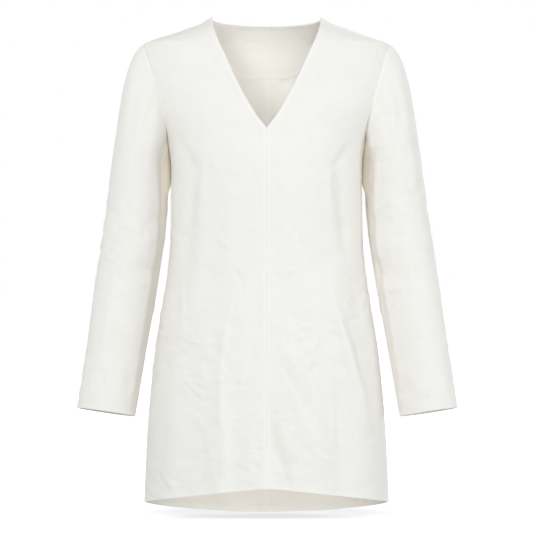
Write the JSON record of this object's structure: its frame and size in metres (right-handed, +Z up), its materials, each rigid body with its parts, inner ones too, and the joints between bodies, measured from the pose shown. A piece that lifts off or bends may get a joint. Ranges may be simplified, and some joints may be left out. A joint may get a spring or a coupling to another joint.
{
  "type": "v-neck dress",
  "caption": "Long-sleeved v-neck mini dress in off-white woven linen, with set-in sleeves, centre-front and centre-back seams and a hem that dips behind, held open as worn.",
  "frame": {"origin": "midway between the two neck points, where the shoulder seams meet the neckline", "axes": "+Z up along the wearer, -Y out of the front of the dress, +X towards the wearer's left arm"},
  "size_m": [0.6082, 0.2837, 0.8183],
  "materials": {
    "linen": "matt off-white plain-weave linen, lightly creased",
    "linen_facing": "matt off-white plain-weave linen, the same cloth as the panels"
  },
  "bodies": {
    "root": {"front_left": "linen", "front_right": "linen", "back_left": "linen", "back_right": "linen", "sleeve_left": "linen", "sleeve_right": "linen", "back_neck_facing": "linen_facing"}
  },
  "joints": []
}
